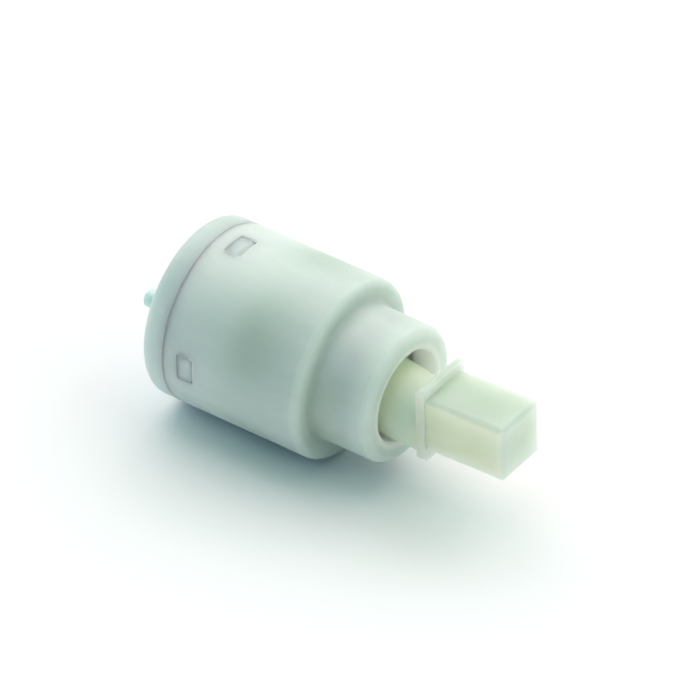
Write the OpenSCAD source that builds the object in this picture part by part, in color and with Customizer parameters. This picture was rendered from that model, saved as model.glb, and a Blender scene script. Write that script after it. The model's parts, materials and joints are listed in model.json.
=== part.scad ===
// Lever cartridge for a 40 mm diverter valve, lying along +X.
// The centre of the rear seat face is the origin, and +Z is up.

/* [Housing] */
// Radius of the housing, half of the 40 mm seat it drops into
body_r = 20; // [19.5:0.1:21]
// Distance from the seat face to the clamping shoulder
shoulder_x = 39.6; // [39.4:0.1:40]
// Radius of the neck that the clamp nut passes over
neck_r = 15.1; // [14.9:0.1:15.6]
// Distance from the seat face to the front of the neck
neck_x = 53.8; // [53.6:0.1:54.4]
// Radius of the round mouth that the lever comes out of
mouth_r = 10.3; // [10.3:0.1:10.6]
// Radius of the hollow fillet where the neck meets the shoulder
neck_fillet = 1.4; // [0.8:0.1:1.5]
// Rounding of the shoulder's outer edge
shoulder_round = 1.7; // [0.5:0.1:1.8]
// Rounding of the neck's front edge
neck_round = 2; // [0.5:0.1:2.2]

/* [Base] */
// Thickness of the base flange behind the housing
flange_x = 5.8; // [5.4:0.1:6.2]
// Rounding of the flange's rear edge
flange_round = 2.2; // [1:0.1:2.5]
// Radius of each water port
port_r = 3.2; // [2.8:0.1:3.3]
// Radius of each locating pin
pin_r = 2; // [1.8:0.1:2.3]
// Length of locating pin that stands out of the seat face
pin_out = 4.4; // [3:0.1:6]

/* [Snap windows] */
// Rear edge of the windows, from the seat face
window_x = 9.4; // [9.2:0.1:9.8]
// Length of a window along the axis
window_l = 4.1; // [3.8:0.1:4.3]
// Width of a window around the housing
window_w = 6.2; // [5.6:0.1:6.6]

/* [Lever] */
// Side of the square that carries the handle
square_side = 13.2; // [12.8:0.1:13.4]
// Length of the square ahead of the collar
square_l = 19.1; // [16:0.1:24]
// Distance from the seat face to the front of the collar
collar_x = 63; // [62:0.1:65]
// Thickness of the collar
collar_t = 2.1; // [1.6:0.1:2.4]
// Width of the collar
collar_w = 14.6; // [14:0.1:15]
// Height of the collar
collar_h = 17.6; // [16.8:0.1:18]
// Bevel of the collar's rear edges
collar_bevel = 0.9; // [0.2:0.1:1.2]
// Radius of the round trunk where it leaves the mouth
trunk_r = 8; // [7.7:0.1:8]
// Radius of the trunk at the collar
trunk_end_r = 7.2; // [7:0.1:7.2]
// Height of the square's centre line above the axis, at the collar
head_z = 0.65; // [0:0.05:1]
// Upward slope of the square with the lever at rest, degrees
head_tilt = 2.2; // [0:0.1:3]
// Distance from the seat face to the pin the lever tilts on
pivot_x = 40.7; // [40.5:0.1:40.9]
// Half of the lever's travel, degrees either side of the axis
half_travel = 8.6; // [5:0.1:8.6]

/* [Turning] */
// Turn of the hub each way from the middle, degrees
half_turn = 45; // [30:1:50]

/* [Hidden] */
$fn = 96;
eps = 0.01;                      // overlap that joins two solids of one piece
slip = 0.02;                     // gap between pieces that are pressed together
run_gap = 0.05;                  // radial gap of a running fit
bore_r = 17.3;                   // inside of the housing
neck_bore_r = 12.7;              // inside of the neck
shoulder_wall = 3.7;             // thickness of the front wall under the neck
lip_t = 6.6;                     // depth of the mouth
seam_bevel = 0.05;               // bevel of both edges at the seam with the flange
window_round = 0.3;              // rounding of a window's corners
boss_r = 17.2;                   // part of the base inside the housing
boss_x = 14.4;                   // front of that boss
quarter_turns = [0, 90, 180, 270];

// Port centres in Y and Z: the supply above, the two outlets below it
ports = [[0, 9.4], [-7.4, -3.4], [7.4, -3.4]];
// Locating pin centres in Y and Z, on one side of the middle each
pins = [[-11, 6.4], [11, 6.4]];
pin_in = 4;                      // depth of a pin's root in the base
pin_root_r = 1.6;                // radius of that root
pin_step = 0.3;                  // depth of the recess that a pin's step stands in
pin_recess_r = 3;                // radius of that recess
seal_wall = 1.7;                 // width of a port seal's ring
seal_depth = 1.6;                // depth of a port seal in its counterbore
seal_proud = 0.5;                // height of a port seal above its face
gasket_depth = 1.5;              // depth of the gasket in the boss
gasket_r = 5.2;                  // outside of each loop of the gasket
gasket_link = 2.4;               // width of the links between the loops

disc_x = 15.2;                   // rear face of the fixed disc
disc_t = 4;                      // thickness of both discs
disc_r = 16.4;                   // radius of the fixed disc
film = 0.05;                     // film of grease between the lapped faces
key_w = 3;                       // width of the notches that hold the fixed disc
key_in_r = 14.6;                 // depth of those notches, as a radius
slide_disc_r = 12.4;             // radius of the moving disc
slide_disc_x = disc_x + disc_t + film;
carrier_x = slide_disc_x + disc_t + slip;
plate_t = 2;                     // thickness of the carrier's plate
plate_r = 13.4;                  // radius of that plate
plate_half_h = 12.2;             // half of its height along the slide
guide_half_w = 10.4;             // half of the carrier's guide block, across the slide
guide_half_h = 9.6;              // half of the guide block, along the slide
carrier_top_x = 30.3;            // front of the guide block
seal_groove_depth = 0.9;         // groove for the seal in the carrier's rear face
seal_groove_r = 9.9;             // outer radius of that groove
mesh_t = 0.8;                    // depth of the noise mesh in the carrier
mesh_r = 5;                      // radius of the noise mesh

hub_r = 17;                      // skirt of the hub
hub_skirt_in_r = 15.8;           // inside of that skirt
hub_rear_x = 19.7;               // rear edge of the skirt
hub_waist_r = 15.2;              // part of the hub inside the stop ring
stop_x = 31;                     // rear of the stop ring
stop_front_x = 35.1;             // front of the stop ring and of the hub's shoulder
hub_stem_r = 12.5;               // part of the hub inside the neck
hub_front_x = 46.9;              // front face of the hub
washer_t = 0.6;                  // thickness of the thrust washer
oring_cord = 1.8;                // diameter of the hub O-ring's cord
oring_x = 44.9;                  // middle of the hub O-ring's groove
lug_half = 15;                   // half angle of the stop ring's lug, degrees
lug_in_r = 13.3;                 // inner radius of that lug

cross_pin_r = 1.5;               // pin the lever tilts on
arm_r = 2.2;                     // round arm that reaches down to the carrier
arm_l = 12.2;                    // from the cross pin to the middle of the foot
foot_r = 2.4;                    // ball at the end of the arm
shoe_r = 3.4;                    // bush around the ball
core_r = 2.6;                    // core inside the trunk
core_l = 19;                     // length of that core ahead of the cross pin
eye_r = 3.7;                     // eye of the core around the cross pin
eye_half_w = 4.5;                // half of the eye's width
square_round = 1.4;              // rounding of the square's edges

// A flat outline in Y and Z, drawn out along X from x0 to x1
module slab(x0, x1) {
    translate([x0, 0, 0]) rotate([90, 0, 90]) linear_extrude(x1 - x0) children();
}

// A round bar along X
module bar(x0, x1, r) {
    slab(x0, x1) circle(r);
}

// A bar along X through a point in Y and Z
module bar_at(p, x0, x1, r) {
    slab(x0, x1) translate(p) circle(r);
}

// An outline in radius and X, turned about the X axis
module turned() {
    rotate([90, 0, 90]) rotate_extrude() children();
}

// Rounds an outer corner of a turned outline: radius r, front edge at x
module cut_front_corner(r, x, round_r) {
    translate([r - round_r, x - round_r]) difference() {
        square(round_r + 1);
        circle(round_r);
    }
}

// The same for an outer corner at the rear
module cut_rear_corner(r, x, round_r) {
    translate([0, 2 * x]) mirror([0, 1]) cut_front_corner(r, x, round_r);
}

// Bevels an outer corner of a turned outline that lies at the origin
module bevel_corner(bevel) {
    rotate(45) square(bevel * sqrt(2), center = true);
}

// Rectangle about a centre, with rounded corners
module round_rect(w, h, r) {
    square([w - 2 * r, h], center = true);
    square([w, h - 2 * r], center = true);
    for (y = [-1, 1], z = [-1, 1])
        translate([y * (w / 2 - r), z * (h / 2 - r)]) circle(r);
}

// Straight slot with round ends, between two points. Its sides stand a hair inside
// the round ends, so that the curves cross instead of only touching.
module slot_2d(a, b, r) {
    d = b - a;
    half_w = r - eps;
    translate(a) circle(r);
    translate(b) circle(r);
    translate(a) rotate(atan2(d[1], d[0])) translate([0, -half_w]) square([norm(d), 2 * half_w]);
}

// Point in Y and Z at a radius and an angle
function polar(r, a) = [r * cos(a), r * sin(a)];

// Sector of the Y and Z plane between two angles, out to a radius
module sector_2d(r, a0, a1) {
    polygon([[0, 0], for (i = [0 : 4]) polar(r, a0 + (a1 - a0) * i / 4)]);
}

// ---- Housing ----

module shell_outline() {
    difference() {
        union() {
            translate([0, flange_x]) square([body_r, shoulder_x - flange_x]);
            square([neck_r, neck_x]);
            translate([neck_r - eps, shoulder_x - eps]) difference() {
                square(neck_fillet);
                translate([neck_fillet, neck_fillet]) circle(neck_fillet);
            }
        }
        cut_front_corner(body_r, shoulder_x, shoulder_round);
        cut_front_corner(neck_r, neck_x, neck_round);
        square([bore_r, shoulder_x - shoulder_wall]);
        square([neck_bore_r, neck_x - lip_t]);
        square([mouth_r, neck_x + 1]);
        translate([mouth_r - eps, neck_x - 0.4]) polygon([[0, 0], [0.5, 0.5], [0, 0.5]]);
        translate([0, -1]) square([body_r + 1, 1 + flange_x]);
        translate([body_r, flange_x]) bevel_corner(seam_bevel);
    }
}

module body_shell() {
    color("honeydew") difference() {
        turned() shell_outline();
        for (a = quarter_turns) rotate([a, 0, 0])
            translate([window_x + window_l / 2, 0, bore_r - 1])
                linear_extrude(body_r) round_rect(window_l, window_w, window_round);
    }
}

module snap_tab() {
    tab_gap = 0.1;
    tab_out_r = body_r - 0.1;
    tab_w = window_w - 2 * tab_gap;
    intersection() {
        turned() polygon([[boss_r - 2, window_x + tab_gap],
                          [tab_out_r, window_x + tab_gap],
                          [tab_out_r, window_x + window_l - 1.3],
                          [tab_out_r - 0.5, window_x + window_l - tab_gap],
                          [boss_r - 2, window_x + window_l - tab_gap]]);
        translate([0, -tab_w / 2, 0]) cube([body_r, tab_w, body_r]);
    }
}

module base_outline() {
    difference() {
        union() {
            square([body_r, flange_x - slip]);
            square([boss_r, boss_x]);
        }
        cut_rear_corner(body_r, 0, flange_round);
        translate([body_r, flange_x - slip]) bevel_corner(seam_bevel);
        cut_front_corner(boss_r, boss_x, 0.5);
    }
}

module gasket_outline(clear) {
    for (p = ports) translate(p) circle(gasket_r + clear);
    for (p = [ports[1], ports[2]])
        slot_2d(ports[0], p, gasket_link / 2 + clear);
}

module base_plate() {
    relief_r = 3.4;
    color("aliceblue") difference() {
        union() {
            turned() base_outline();
            for (a = quarter_turns) rotate([a, 0, 0]) snap_tab();
            for (side = [0, 180]) rotate([side, 0, 0]) intersection() {
                bar(boss_x - 1, disc_x + 1.8, boss_r);
                translate([boss_x - 1, key_in_r + 0.15, -key_w / 2 + 0.1])
                    cube([disc_x, 5, key_w - 0.2]);
            }
        }
        for (p = ports) {
            bar_at(p, -1, boss_x + 1, port_r);
            bar_at(p, -1, seal_depth, port_r + seal_wall + slip);
        }
        for (p = pins) {
            bar_at(p, -1, pin_in + slip, pin_root_r + slip);
            bar_at(p, -1, pin_step, pin_recess_r);
        }
        slab(boss_x - gasket_depth, boss_x + 1) gasket_outline(slip);
        // core-outs that keep the moulding an even thickness
        for (a = [-90, -50, -130]) rotate([a, 0, 0]) {
            bar_at([13.6, 0], -1, 3, relief_r / 2);
        }
    }
}

module locating_pin(p) {
    step_x = pin_step - slip;
    color("aquamarine") translate([0, p[0], p[1]]) turned() difference() {
        union() {
            translate([0, -pin_out]) square([pin_r, pin_out + step_x]);
            square([pin_root_r, pin_in]);
        }
        cut_rear_corner(pin_r, -pin_out, 0.6);
    }
}

module port_seal(p) {
    half_w = seal_wall / 2 - 0.05;
    ring_mid = port_r + seal_wall - half_w;
    color("lightseagreen") translate([0, p[0], p[1]]) turned() translate([ring_mid, 0]) {
        translate([-half_w, -seal_proud + half_w])
            square([2 * half_w, seal_depth + seal_proud - half_w - slip]);
        translate([0, -seal_proud + half_w]) circle(half_w);
    }
}

module disc_gasket() {
    color("dimgray") difference() {
        slab(boss_x - gasket_depth + slip, disc_x - slip) gasket_outline(0);
        for (p = ports) bar_at(p, 0, disc_x, port_r + 0.3);
        slab(boss_x, disc_x) difference() {
            circle(disc_r);
            for (p = ports) translate(p) circle(gasket_r - 0.4);
        }
    }
}

module fixed_disc() {
    disc_port_r = 2.2;
    color("white") difference() {
        bar(disc_x, disc_x + disc_t, disc_r);
        for (side = [0, 180]) rotate([side, 0, 0])
            translate([disc_x - 1, key_in_r, -key_w / 2]) cube([disc_t + 2, 5, key_w]);
        slab(disc_x - 1, disc_x + disc_t + 1) {
            slot_2d(polar(9.6, 110), polar(9.6, 70), disc_port_r);
            slot_2d(polar(8.4, 188), polar(8.4, 224), disc_port_r);
            slot_2d(polar(8.4, -8), polar(8.4, -44), disc_port_r);
        }
    }
}

// ---- Carrier: slides along Z inside the hub ----

module slide_z() {
    rest_shift = arm_l * sin(half_travel);
    translate([0, 0, rest_shift]) children();
}

module passage_outline() {
    circle(5.6);
    slot_2d([0, 0], [0, 6], 2.6);
}

module moving_disc() {
    color("whitesmoke") slide_z() difference() {
        bar(slide_disc_x, slide_disc_x + disc_t, slide_disc_r);
        slab(slide_disc_x - 1, slide_disc_x + disc_t + 1) passage_outline();
    }
}

module carrier_seal() {
    color("dimgray") slide_z() slab(carrier_x + slip, carrier_x + seal_groove_depth - slip) difference() {
        circle(seal_groove_r - slip);
        circle(seal_groove_r - 1.1);
    }
}

module noise_mesh() {
    pitch = 1.6;
    hole = 1;
    holes = [for (i = [-2 : 2], j = [-2 : 2]) if (i * i + j * j < 6) [i * pitch, j * pitch]];
    color("silver") slide_z() slab(carrier_x + slip, carrier_x + mesh_t) difference() {
        circle(mesh_r);
        for (h = holes) translate(h) square(hole, center = true);
    }
}

module disc_carrier() {
    chamber_t = 1.6;
    lug_half_h = 4;
    bush_hole_r = shoe_r + slip;
    color("gainsboro") slide_z() difference() {
        union() {
            slab(carrier_x, carrier_x + plate_t) intersection() {
                circle(plate_r);
                square([2 * plate_r, 2 * plate_half_h], center = true);
            }
            slab(carrier_x, carrier_top_x) round_rect(2 * guide_half_w, 2 * guide_half_h, 1);
            slab(carrier_x - 2.6, carrier_x + eps) intersection() {
                difference() {
                    circle(plate_r);
                    circle(slide_disc_r + 0.05);
                }
                square([2 * plate_r, 2 * lug_half_h], center = true);
            }
        }
        slab(carrier_x - 1, carrier_x + seal_groove_depth) difference() {
            circle(seal_groove_r);
            circle(seal_groove_r - 1.1 - slip);
        }
        bar(carrier_x - 1, carrier_x + chamber_t, mesh_r + slip);
        bar(pivot_x - arm_l - foot_r - 0.6, carrier_top_x + 1, bush_hole_r);
    }
}

module drive_bush() {
    color("gold") slide_z() difference() {
        bar(pivot_x - arm_l - foot_r - 0.5, carrier_top_x, shoe_r);
        bar(0, carrier_top_x + 1, foot_r + run_gap);
        turned() polygon([[0, carrier_top_x - 0.6], [foot_r, carrier_top_x - 0.6],
                          [shoe_r - 0.2, carrier_top_x + eps], [0, carrier_top_x + eps]]);
    }
}

// ---- Hub: turns about X inside the housing ----

module hub_outline() {
    difference() {
        union() {
            translate([0, hub_rear_x]) square([hub_r, stop_x - 0.2 - hub_rear_x]);
            translate([0, hub_rear_x]) square([hub_waist_r, stop_front_x - hub_rear_x]);
            translate([0, hub_rear_x]) square([hub_stem_r, hub_front_x - hub_rear_x]);
        }
        translate([0, hub_rear_x - 1]) square([hub_skirt_in_r, carrier_x + plate_t + 0.2 - hub_rear_x + 1]);
        translate([neck_bore_r - oring_cord, oring_x - oring_cord * 0.6])
            square([oring_cord, oring_cord * 1.2]);
        cut_front_corner(hub_stem_r, hub_front_x, 0.6);
    }
}

module hub() {
    slot_end = 2.6;
    ball_gap = 0.3;
    trunk_rise = (hub_front_x - pivot_x) * tan(half_travel) + 0.15;
    stop_margin = lug_half + half_turn;
    color("palegreen") difference() {
        turned() hub_outline();
        // guide for the carrier's block
        slab(carrier_x, carrier_top_x + 0.3)
            square([2 * guide_half_w + 0.3, 2 * guide_half_h + 5.6], center = true);
        // room for the arm to swing
        slab(carrier_top_x, pivot_x) slot_2d([0, -slot_end], [0, slot_end], arm_r + 0.6);
        // pocket for the trunk: a slot whose flat sides turn the hub with the lever
        translate([pivot_x, 0, 0]) sphere(trunk_r + ball_gap);
        slab(pivot_x, hub_front_x + 1) slot_2d([0, -trunk_rise], [0, trunk_rise], trunk_r + ball_gap);
        // hole for the cross pin
        translate([pivot_x, 0, 0]) rotate([90, 0, 0])
            cylinder(h = 3 * hub_r, r = cross_pin_r + slip / 2, center = true);
        // groove that the stop ring's lug runs in
        slab(stop_x - 0.2, stop_front_x + 1) difference() {
            sector_2d(2 * hub_r, 90 - stop_margin, 90 + stop_margin);
            circle(lug_in_r - 0.2);
        }
    }
}

module hub_oring() {
    color("dimgray") turned()
        translate([neck_bore_r - oring_cord / 2 - run_gap, oring_x]) circle(oring_cord / 2 - run_gap);
}

module thrust_washer() {
    color("ivory") slab(stop_front_x + slip, stop_front_x + slip + washer_t) difference() {
        circle(bore_r - 0.1);
        circle(neck_bore_r + 0.1);
    }
}

module stop_ring() {
    stop_gap = 0.15;
    color("lightskyblue") slab(stop_x, stop_front_x - stop_gap) {
        difference() {
            circle(bore_r - slip);
            circle(hub_waist_r + 0.2);
        }
        intersection() {
            difference() {
                circle(bore_r - 0.5);
                circle(lug_in_r);
            }
            sector_2d(2 * bore_r, 90 - lug_half + 0.4, 90 + lug_half - 0.4);
        }
    }
}

module cross_pin() {
    pin_half = 12.2;
    color("silver") translate([pivot_x, 0, 0]) rotate([90, 0, 0])
        cylinder(h = 2 * pin_half, r = cross_pin_r, center = true);
}

// ---- Lever: tilts on the cross pin ----

// Places a shape that is drawn along X about the cross pin in the lever's rest position
module on_lever_axis() {
    translate([pivot_x, 0, 0]) rotate([0, half_travel, 0]) children();
}

// Places a shape that is drawn along X from the front of the collar
module on_head_axis() {
    translate([collar_x, 0, head_z]) rotate([0, -head_tilt, 0]) children();
}

module core_shape(extra) {
    bar(-arm_l, 0, arm_r + extra);
    bar(0, core_l + extra, core_r + extra);
    rotate([90, 0, 0]) cylinder(h = 2 * (eye_half_w + extra), r = eye_r + extra, center = true);
}

module cross_pin_hole() {
    translate([pivot_x, 0, 0]) rotate([90, 0, 0])
        cylinder(h = 3 * trunk_r, r = cross_pin_r + run_gap, center = true);
}

module lever_core() {
    color("darkkhaki") difference() {
        on_lever_axis() {
            core_shape(0);
            translate([-arm_l, 0, 0]) sphere(foot_r);
        }
        cross_pin_hole();
    }
}

module square_block() {
    intersection() {
        slab(-square_l, square_l) round_rect(square_side, square_side, square_round);
        translate([0, square_side, 0]) rotate([90, 0, 0]) linear_extrude(2 * square_side)
            round_rect(2 * square_l, square_side, square_round);
        translate([0, 0, -square_side]) linear_extrude(2 * square_side)
            round_rect(2 * square_l, square_side, square_round);
        translate([-1, -square_side, -square_side]) cube([square_l + 2, 2 * square_side, 2 * square_side]);
    }
}

// Section of the collar through its height: the rear edges are bevelled
module collar_section() {
    half_h = collar_h / 2;
    polygon([[0.5, half_h], [collar_bevel - collar_t, half_h], [-collar_t, half_h - collar_bevel],
             [-collar_t, collar_bevel - half_h], [collar_bevel - collar_t, -half_h], [0.5, -half_h]]);
}

module collar_block() {
    intersection() {
        slab(-collar_t, 0) round_rect(collar_w, collar_h, collar_bevel);
        translate([0, collar_w, 0]) rotate([90, 0, 0]) linear_extrude(2 * collar_w) collar_section();
    }
}

// Half space above a plane that slopes down from the foot of the collar towards the mouth
module above_heel() {
    heel_step = 0.45;
    heel_slope = 12;
    translate([-collar_t, -collar_h, heel_step - collar_h / 2]) rotate([0, -heel_slope, 0])
        translate([-pivot_x, 0, 0]) cube([2 * pivot_x, 2 * collar_h, 2 * collar_h]);
}

// The round trunk, with a ball round the cross pin and a relief under its heel
module trunk() {
    taper_x = 12.5;
    trunk_l = (collar_x - collar_t - pivot_x) / cos(half_travel);
    intersection() {
        on_lever_axis() {
            turned() polygon([[0, 0], [trunk_r, 0], [trunk_r, taper_x], [trunk_end_r, trunk_l],
                              [trunk_end_r, collar_x - pivot_x], [0, collar_x - pivot_x]]);
            sphere(trunk_r);
        }
        on_head_axis() translate([-collar_x, -collar_h, -2 * collar_h])
            cube([collar_x - collar_t + 0.5, 2 * collar_h, 4 * collar_h]);
        on_head_axis() above_heel();
    }
}

module lever_head() {
    color("palegoldenrod") difference() {
        union() {
            on_head_axis() {
                square_block();
                collar_block();
            }
            trunk();
        }
        on_lever_axis() core_shape(slip);
        cross_pin_hole();
    }
}

body_shell();
base_plate();
locating_pin(pins[0]);  // locating_pin_near
locating_pin(pins[1]);  // locating_pin_far
port_seal(ports[0]);  // supply_port_seal
port_seal(ports[1]);  // outlet_port_seal_near
port_seal(ports[2]);  // outlet_port_seal_far
disc_gasket();
fixed_disc();
moving_disc();
carrier_seal();
noise_mesh();
disc_carrier();
drive_bush();
hub();
hub_oring();
thrust_washer();
stop_ring();
cross_pin();
lever_core();
lever_head();
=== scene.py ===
"""Looks of a diverter valve's lever cartridge: materials, studio light and camera."""
import json
import math

import bpy
from mathutils import Matrix, Vector


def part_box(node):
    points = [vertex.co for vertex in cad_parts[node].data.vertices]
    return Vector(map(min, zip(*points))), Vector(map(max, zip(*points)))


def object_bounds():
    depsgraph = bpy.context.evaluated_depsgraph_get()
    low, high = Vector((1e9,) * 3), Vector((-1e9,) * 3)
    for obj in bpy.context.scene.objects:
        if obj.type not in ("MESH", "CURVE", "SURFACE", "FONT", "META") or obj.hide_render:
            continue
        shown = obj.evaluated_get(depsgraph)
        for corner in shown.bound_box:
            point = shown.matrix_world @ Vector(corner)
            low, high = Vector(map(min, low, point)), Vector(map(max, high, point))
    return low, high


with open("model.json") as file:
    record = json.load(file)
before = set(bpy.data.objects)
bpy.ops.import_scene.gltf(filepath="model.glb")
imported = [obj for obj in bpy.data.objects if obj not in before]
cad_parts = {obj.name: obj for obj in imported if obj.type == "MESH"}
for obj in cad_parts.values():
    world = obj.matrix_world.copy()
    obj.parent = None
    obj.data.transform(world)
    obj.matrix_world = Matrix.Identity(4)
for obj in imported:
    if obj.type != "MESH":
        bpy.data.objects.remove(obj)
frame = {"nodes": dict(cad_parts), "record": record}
nodes = frame["nodes"]
cad_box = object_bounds()

MM = 0.001


def middle_x(node):
    """Where the middle of a CAD node lies along the axis."""
    low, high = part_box(node)
    return (low.x + high.x) / 2


def mount_x(name):
    """Where a mount of the record lies along the axis."""
    return next(mount for mount in frame["record"]["mounts"] if mount["name"] == name)["pos_m"][0]


seam_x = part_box("body_shell")[0].x
neck_front_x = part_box("body_shell")[1].x
shoulder_x = mount_x("shoulder_face")
carrier_x = middle_x("disc_carrier")


# ---- Node trees ----

class Tree:
    """A material's node tree, with short calls for the nodes that the recipes below use."""

    def __init__(self, name):
        self.material = bpy.data.materials.new(name)
        self.material.use_nodes = True
        self.nodes = self.material.node_tree.nodes
        self.links = self.material.node_tree.links
        self.nodes.clear()
        self.out = self.nodes.new("ShaderNodeOutputMaterial")
        self.shader = self.nodes.new("ShaderNodeBsdfPrincipled")
        self.links.new(self.shader.outputs["BSDF"], self.out.inputs["Surface"])
        coordinates = self.nodes.new("ShaderNodeTexCoord")
        self.point = coordinates.outputs["Object"]
        split = self.nodes.new("ShaderNodeSeparateXYZ")
        self.links.new(self.point, split.inputs[0])
        self.x, self.y, self.z = split.outputs
        facing = self.nodes.new("ShaderNodeSeparateXYZ")
        self.links.new(coordinates.outputs["Normal"], facing.inputs[0])
        self.forward = facing.outputs[0]
        self.upward = facing.outputs[2]

    def put(self, socket, value):
        """Gives a socket a number, a colour or another node's output."""
        if isinstance(value, bpy.types.NodeSocket):
            self.links.new(value, socket)
        elif isinstance(value, tuple) and len(value) == 3 and len(socket.default_value) == 4:
            socket.default_value = (*value, 1)
        else:
            socket.default_value = value

    def set(self, **values):
        """Sets sockets of the shader: Base_Color stands for Base Color."""
        for name, value in values.items():
            self.put(self.shader.inputs[name.replace("_", " ")], value)

    def math(self, operation, *values):
        """One sum: the operation, with its values in order."""
        node = self.nodes.new("ShaderNodeMath")
        node.operation = operation
        for socket, value in zip(node.inputs, values):
            self.put(socket, value)
        return node.outputs[0]

    def times(self, a, b):
        return self.math("MULTIPLY", a, b)

    def ramp(self, value, start, end, low=0.0, high=1.0):
        """Smooth step: low below start, high above end."""
        node = self.nodes.new("ShaderNodeMapRange")
        node.interpolation_type = "SMOOTHSTEP"
        for name, number in zip(("Value", "From Min", "From Max", "To Min", "To Max"),
                                (value, start, end, low, high)):
            self.put(node.inputs[name], number)
        return node.outputs["Result"]

    def bump_at(self, value, centre, half_width):
        """A smooth hump: 1 at the centre, 0 beyond the half width on both sides."""
        distance = self.math("ABSOLUTE", self.math("SUBTRACT", value, centre))
        return self.ramp(distance, 0.0, half_width, 1.0, 0.0)

    def noise(self, size, detail=2.0, roughness=0.5, stretch=(1, 1, 1)):
        """Noise from 0 to 1 whose features are about size metres across."""
        scale = self.nodes.new("ShaderNodeVectorMath")
        scale.operation = "MULTIPLY"
        self.put(scale.inputs[0], self.point)
        self.put(scale.inputs[1], tuple(k / size for k in stretch))
        node = self.nodes.new("ShaderNodeTexNoise")
        self.put(node.inputs["Vector"], scale.outputs[0])
        self.put(node.inputs["Scale"], 1.0)
        self.put(node.inputs["Detail"], detail)
        self.put(node.inputs["Roughness"], roughness)
        return node.outputs["Fac"]

    def specks(self, spacing, size, share):
        """Small round specks: 1 inside one, and 0 elsewhere. Only a share of the cells has one."""
        node = self.nodes.new("ShaderNodeTexVoronoi")
        scale = self.nodes.new("ShaderNodeVectorMath")
        scale.operation = "SCALE"
        self.put(scale.inputs[0], self.point)
        self.put(scale.inputs["Scale"], 1 / spacing)
        self.put(node.inputs["Vector"], scale.outputs[0])
        self.put(node.inputs["Scale"], 1.0)
        edge = size / spacing
        dot = self.ramp(node.outputs["Distance"], edge * 0.4, edge, 1.0, 0.0)
        chosen = self.nodes.new("ShaderNodeSeparateColor")
        self.links.new(node.outputs["Color"], chosen.inputs[0])
        return self.times(dot, self.math("LESS_THAN", chosen.outputs[0], share))

    def mix(self, factor, a, b, blend="MIX"):
        """Colour a where the factor is 0, and b where it is 1."""
        node = self.nodes.new("ShaderNodeMix")
        node.data_type = "RGBA"
        node.blend_type = blend
        self.put(node.inputs[0], factor)
        self.put(node.inputs[6], a)
        self.put(node.inputs[7], b)
        return node.outputs[2]

    def tint(self, factor, colour, tone):
        """The colour, multiplied by the tone where the factor is 1."""
        return self.mix(factor, colour, tone, "MULTIPLY")

    def relief(self, height, depth):
        """Bump from a height of 0 to 1 that stands for depth metres."""
        node = self.nodes.new("ShaderNodeBump")
        self.put(node.inputs["Height"], height)
        self.put(node.inputs["Distance"], depth)
        self.links.new(node.outputs[0], self.shader.inputs["Normal"])


def dress(material, *names):
    """Gives CAD nodes a material in their own slot."""
    for name in names:
        for slot in nodes[name].material_slots:
            slot.material = material


# ---- Plastics ----

MILKY_DEPTH = 6 * MM             # how far light travels inside the housing's and the base's plastic
MILKY_ROUGHNESS = 0.45
SEAM_PAINTED_LIGHT = (0.9, 0.96, 0.92)    # painted light: paler along the seam, where thin edges pass more light and the crack between the parts shows dark


def moulded_plastic(name, body_colour, cloud_colour, depth, roughness):
    """Milky moulded plastic: cloudy colour, a fine satin skin, and light that travels inside it."""
    roughness_spread = 0.06
    t = Tree(name)
    cloud = t.ramp(t.noise(9 * MM, 3, 0.55), 0.35, 0.65)
    flow = t.ramp(t.noise(3 * MM, 2, 0.5, stretch=(0.25, 1, 1)), 0.3, 0.7)
    colour = t.mix(t.times(cloud, 0.8), body_colour, cloud_colour)
    t.colour = t.mix(t.times(flow, 0.12), colour, (0.86, 0.9, 0.86))
    t.set(Base_Color=t.colour,
          Roughness=t.ramp(t.noise(1.2 * MM, 3), 0.3, 0.7,
                           roughness - roughness_spread, roughness + roughness_spread),
          Subsurface_Weight=1.0,
          Subsurface_Radius=(1.0, 1.0, 0.9),
          Subsurface_Scale=depth,
          IOR=1.46)
    skin = t.math("ADD", t.times(t.noise(0.35 * MM, 2), 0.35), t.noise(1.6 * MM, 2))
    t.relief(skin, 0.012 * MM)
    return t


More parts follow.
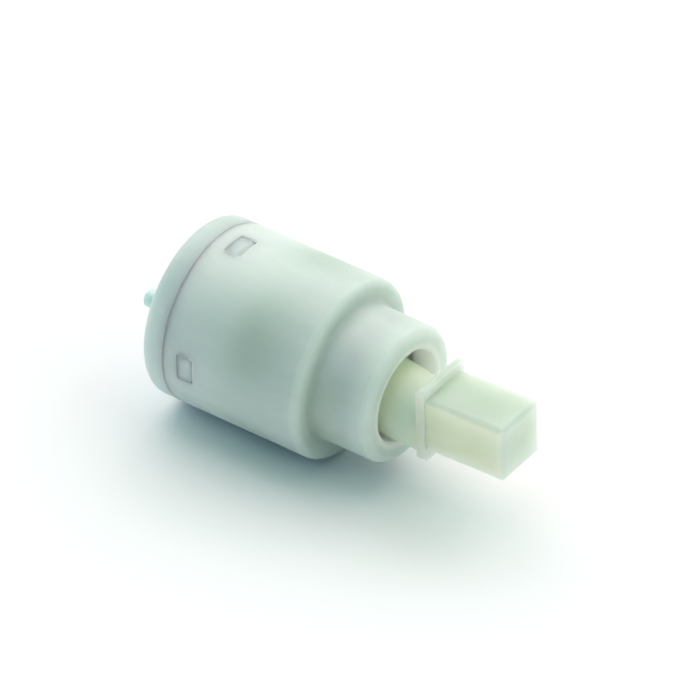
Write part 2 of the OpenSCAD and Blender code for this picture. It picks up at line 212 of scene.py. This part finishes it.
def shell_material():
    """Housing: painted shade lays a soft dark ring where the carrier inside shows through the wall, and
    painted light makes the mouth glow.
    """
    t = moulded_plastic("shell_milky", (0.66, 0.755, 0.68), (0.625, 0.725, 0.655),
                        MILKY_DEPTH, MILKY_ROUGHNESS)

    # painted shade: a soft dark ring where the carrier shows through the wall, darkest where the
    # carrier's square block stands closest to the wall at its four corners
    corner_angle = math.radians(36)
    angle = t.math("ARCTAN2", t.z, t.times(t.y, -1.0))
    corner = t.math("COSINE", t.times(t.math("SUBTRACT", angle, corner_angle), 4.0))
    near_wall = t.ramp(corner, -1.0, 1.0, 0.45, 1.0)
    ring = t.times(t.bump_at(t.x, carrier_x + 1 * MM, 12 * MM), near_wall)
    colour = t.mix(t.times(ring, 0.6), t.colour, (0.36, 0.47, 0.39))

    # painted shade: darker towards the front of the housing
    front = t.ramp(t.x, carrier_x, shoulder_x)
    colour = t.tint(front, colour, (0.86, 0.86, 0.87))

    # painted shade and painted yellow light from the lever: darker and yellower where the neck leaves the
    # shoulder, below its top
    neck_root_painted_shade = t.times(t.bump_at(t.x, shoulder_x + 2.5 * MM, 9 * MM),
                        t.math("GREATER_THAN", t.x, shoulder_x))
    neck_root_painted_shade = t.times(neck_root_painted_shade, t.ramp(t.z, 3 * MM, 13 * MM, 1.0, 0.0))
    colour = t.tint(neck_root_painted_shade, colour, (0.9, 0.92, 0.84))

    # painted shade: darker and bluer towards the bottom
    low = t.ramp(t.z, -11 * MM, -2 * MM, 1.0, 0.0)
    colour = t.tint(low, colour, (0.84, 0.88, 0.9))

    # painted light: the lip around the mouth is painted paler where light comes through it
    from_axis = t.math("SQRT", t.math("ADD", t.times(t.y, t.y), t.times(t.z, t.z)))
    mouth = t.ramp(from_axis, 10.4 * MM, 12.4 * MM, 1.0, 0.0)
    colour = t.mix(mouth, colour, (0.93, 0.97, 0.93))
    t.set(Subsurface_Scale=t.ramp(t.x, shoulder_x, neck_front_x, MILKY_DEPTH, 14 * MM))

    # painted light: paler along the seam
    seam = t.bump_at(t.x, seam_x, 0.5 * MM)
    colour = t.mix(t.times(seam, 0.6), colour, SEAM_PAINTED_LIGHT)
    specks = t.times(t.specks(5 * MM, 0.14 * MM, 0.1), 0.7)
    t.set(Base_Color=t.mix(specks, colour, (0.18, 0.2, 0.14)))
    return t.material


def base_material():
    """Base: the same milky plastic, a little bluer; painted shade makes it darker at its top and darker
    and bluer along its lower edge.
    """
    t = moulded_plastic("base_milky", (0.68, 0.77, 0.71), (0.64, 0.74, 0.7), MILKY_DEPTH, MILKY_ROUGHNESS)
    # painted shade: darker towards the top
    high = t.ramp(t.z, 8 * MM, 18 * MM)
    colour = t.tint(high, t.colour, (0.8, 0.82, 0.83))
    # painted shade: darker and bluer towards the lower edge
    low = t.ramp(t.z, -14 * MM, -5 * MM, 1.0, 0.0)
    colour = t.tint(low, colour, (0.84, 0.92, 1.0))
    # painted light: paler along the seam
    seam = t.bump_at(t.x, seam_x, 0.5 * MM)
    colour = t.mix(t.times(seam, 0.6), colour, SEAM_PAINTED_LIGHT)
    specks = t.times(t.specks(4 * MM, 0.12 * MM, 0.12), 0.7)
    t.set(Base_Color=t.mix(specks, colour, (0.2, 0.22, 0.2)))
    return t.material


def lever_material():
    """Lever: warm at its sides; painted shade makes its top and end darker and cooler, and painted light
    makes it a lighter, deeper green in the mouth.
    """
    t = moulded_plastic("lever_milky", (0.75, 0.77, 0.6), (0.72, 0.74, 0.56), 16 * MM, MILKY_ROUGHNESS)
    # painted shade: darker and bluer on the top and the end faces
    colour = t.tint(t.ramp(t.upward, 0.0, 1.0), t.colour, (0.66, 0.75, 0.78))
    colour = t.tint(t.ramp(t.forward, 0.2, 1.0), colour, (0.8, 0.86, 0.96))
    # painted light: the trunk in the mouth is painted lighter and greener against the mouth's shade
    trunk_painted_light = t.ramp(t.x, neck_front_x + 4 * MM, neck_front_x + 8 * MM, 1.0, 0.0)
    colour = t.mix(t.times(trunk_painted_light, 0.9), colour, (0.66, 0.8, 0.6))
    deep_painted_light = t.ramp(t.x, neck_front_x - 3 * MM, neck_front_x + 5 * MM, 1.0, 0.0)
    colour = t.mix(t.times(deep_painted_light, 0.9), colour, (0.78, 0.93, 0.58))
    specks = t.times(t.specks(4 * MM, 0.13 * MM, 0.16), 0.8)
    t.set(Base_Color=t.mix(specks, colour, (0.16, 0.17, 0.08)))
    return t.material


def plain_plastic(name, body_colour, cloud_colour, depth=1.5 * MM, roughness=0.4):
    """Moulded plastic without marks of its own."""
    return moulded_plastic(name, body_colour, cloud_colour, depth, roughness).material


# ---- Rubber, ceramic and metal ----

def rubber_material(name, colour, dusty):
    """Moulded rubber: matt, with a dusty bloom and a fine grain."""
    t = Tree(name)
    bloom = t.ramp(t.noise(1.5 * MM, 4, 0.6), 0.4, 0.75)
    t.set(Base_Color=t.mix(t.times(bloom, 0.6), colour, dusty),
          Roughness=t.ramp(t.noise(0.6 * MM, 3), 0.3, 0.7, 0.55, 0.75),
          IOR=1.5)
    t.relief(t.noise(0.12 * MM, 3), 0.008 * MM)
    return t.material


def ceramic_material():
    """Lapped ceramic disc: dense white with fine grey veining and a polished face."""
    t = Tree("ceramic_lapped")
    vein = t.ramp(t.noise(4 * MM, 5, 0.65), 0.45, 0.6)
    t.set(Base_Color=t.mix(t.times(vein, 0.25), (0.82, 0.82, 0.79), (0.66, 0.67, 0.66)),
          Roughness=t.ramp(t.noise(2 * MM, 3), 0.35, 0.65, 0.12, 0.24),
          Subsurface_Weight=0.3,
          Subsurface_Radius=(1.0, 1.0, 1.0),
          Subsurface_Scale=0.5 * MM,
          IOR=1.75)
    t.relief(t.noise(0.2 * MM, 2, stretch=(1, 0.1, 1)), 0.001 * MM)
    return t.material


def metal_material(name, colour, dull, roughness, grain):
    """Turned or drawn metal: long fine grain, and duller where it has been handled."""
    t = Tree(name)
    worn = t.ramp(t.noise(2.5 * MM, 4, 0.6), 0.4, 0.7)
    t.set(Base_Color=t.mix(t.times(worn, 0.5), colour, dull),
          Metallic=1.0,
          Roughness=t.ramp(worn, 0.0, 1.0, roughness, roughness + 0.15))
    t.relief(t.noise(0.15 * MM, 3, stretch=grain), 0.003 * MM)
    return t.material


dress(shell_material(), "body_shell")
dress(base_material(), "base_plate")
dress(lever_material(), "lever_head")
dress(plain_plastic("pin_mint", (0.6, 0.79, 0.75), (0.64, 0.82, 0.78), 3 * MM),
      "locating_pin_near", "locating_pin_far")
dress(plain_plastic("carrier_white", (0.6, 0.63, 0.58), (0.55, 0.6, 0.55)), "disc_carrier")
dress(plain_plastic("bush_cream", (0.62, 0.55, 0.3), (0.6, 0.5, 0.26)), "drive_bush")
dress(plain_plastic("hub_green", (0.8, 0.88, 0.76), (0.76, 0.85, 0.72), 6 * MM), "hub")
dress(plain_plastic("washer_ivory", (0.7, 0.68, 0.58), (0.66, 0.64, 0.54)), "thrust_washer")
dress(plain_plastic("stop_blue", (0.4, 0.54, 0.62), (0.36, 0.5, 0.58)), "stop_ring")
dress(rubber_material("port_rubber_teal", (0.05, 0.2, 0.19), (0.14, 0.3, 0.29)),
      "supply_port_seal", "outlet_port_seal_near", "outlet_port_seal_far")
dress(rubber_material("rubber_black", (0.015, 0.015, 0.016), (0.07, 0.07, 0.07)),
      "disc_gasket", "carrier_seal", "hub_oring")
dress(ceramic_material(), "fixed_disc", "moving_disc")
dress(metal_material("steel_ground", (0.6, 0.6, 0.6), (0.46, 0.46, 0.46), 0.22, (1, 0.05, 1)),
      "cross_pin")
dress(metal_material("steel_mesh", (0.56, 0.56, 0.55), (0.42, 0.42, 0.41), 0.3, (1, 1, 1)), "noise_mesh")
dress(metal_material("brass_core", (0.72, 0.55, 0.3), (0.5, 0.38, 0.22), 0.3, (0.05, 1, 1)), "lever_core")


# ---- Studio ----

def studio_floor():
    """Pale floor that the housing lies on, wide enough to fill every view."""
    half = 4.0
    mesh = bpy.data.meshes.new("studio_floor")
    z = cad_box[0][2]
    outline = [(-half, -half, z), (half, -half, z), (half, half, z), (-half, half, z)]
    mesh.from_pydata(outline, [], [(0, 1, 2, 3)])
    floor = bpy.data.objects.new("studio_floor", mesh)
    bpy.context.scene.collection.objects.link(floor)
    t = Tree("studio_floor")
    t.set(Base_Color=(0.9, 0.9, 0.9), Roughness=0.9, Specular_IOR_Level=0.0)
    mesh.materials.append(t.material)


def soft_lamp(name, azimuth, elevation, spread, strength):
    """Broad lamp far away, like a softbox.

    The strength is what it gives a white surface that faces it, in red, green and blue.
    """
    azimuth, elevation = math.radians(azimuth), math.radians(elevation)
    toward = Vector((math.cos(elevation) * math.cos(azimuth), math.cos(elevation) * math.sin(azimuth),
                     math.sin(elevation)))
    data = bpy.data.lights.new(name, "SUN")
    data.angle = math.radians(spread)
    data.energy = math.pi * max(strength)
    data.color = [part / max(strength) for part in strength]
    lamp = bpy.data.objects.new(name, data)
    lamp.rotation_euler = toward.to_track_quat("Z", "Y").to_euler()
    bpy.context.scene.collection.objects.link(lamp)


def studio_world(background_light, fill_light):
    """White behind everything that the camera sees, and next to no light from it."""
    world = bpy.data.worlds.new("studio_world")
    bpy.context.scene.world = world
    world.use_nodes = True
    tree = world.node_tree
    background = tree.nodes["Background"]
    path = tree.nodes.new("ShaderNodeLightPath")
    light = tree.nodes.new("ShaderNodeMapRange")
    light.inputs["To Min"].default_value = fill_light
    light.inputs["To Max"].default_value = background_light
    tree.links.new(path.outputs["Is Camera Ray"], light.inputs["Value"])
    background.inputs["Color"].default_value = (1, 1, 1, 1)
    tree.links.new(light.outputs["Result"], background.inputs["Strength"])


def studio_camera():
    """Camera of the product view, given by its azimuth, its elevation and what it looks at."""
    azimuth = math.radians(35.9)
    elevation = math.radians(38.0)
    lens = 452.6
    sensor = 36.0
    distance = 1.8257
    aim_right = 31.66 * MM
    aim_up = -9.94 * MM
    right = Vector((math.cos(azimuth), math.sin(azimuth), 0))
    back = Vector((math.sin(azimuth) * math.cos(elevation), -math.cos(azimuth) * math.cos(elevation),
                   math.sin(elevation)))
    up = back.cross(right)
    data = bpy.data.cameras.new("studio_camera")
    data.lens = lens
    data.sensor_width = sensor
    data.clip_end = 20
    camera = bpy.data.objects.new("studio_camera", data)
    bpy.context.scene.collection.objects.link(camera)
    turn = Matrix((right, up, back)).transposed().to_4x4()
    camera.matrix_world = Matrix.Translation(right * aim_right + up * aim_up + back * distance) @ turn
    bpy.context.scene.camera = camera


studio_camera()
studio_floor()
studio_world(1.05, 0.02)
# Name, azimuth, elevation and spread in degrees, and strength. A wide ceiling of light leans over
# from behind the object, and weak lamps around it soften the shadow.
soft_lamp("ceiling", 100, 66, 75, (0.6, 0.48, 0.485))
soft_lamp("front_top", 240, 62, 50, (0.175, 0.24, 0.205))
soft_lamp("back_right", 25, 35, 55, (0.225, 0.29, 0.26))
soft_lamp("back", 90, 35, 55, (0.2, 0.23, 0.235))
soft_lamp("back_left", 155, 35, 55, (0.265, 0.305, 0.3))
soft_lamp("front_fill", 270, 30, 60, (0.0, 0.035, 0.1))
soft_lamp("right_fill", 335, 30, 60, (0.06, 0.08, 0.06))
bpy.context.scene.view_settings.view_transform = "Standard"
bpy.context.scene.view_settings.look = "None"
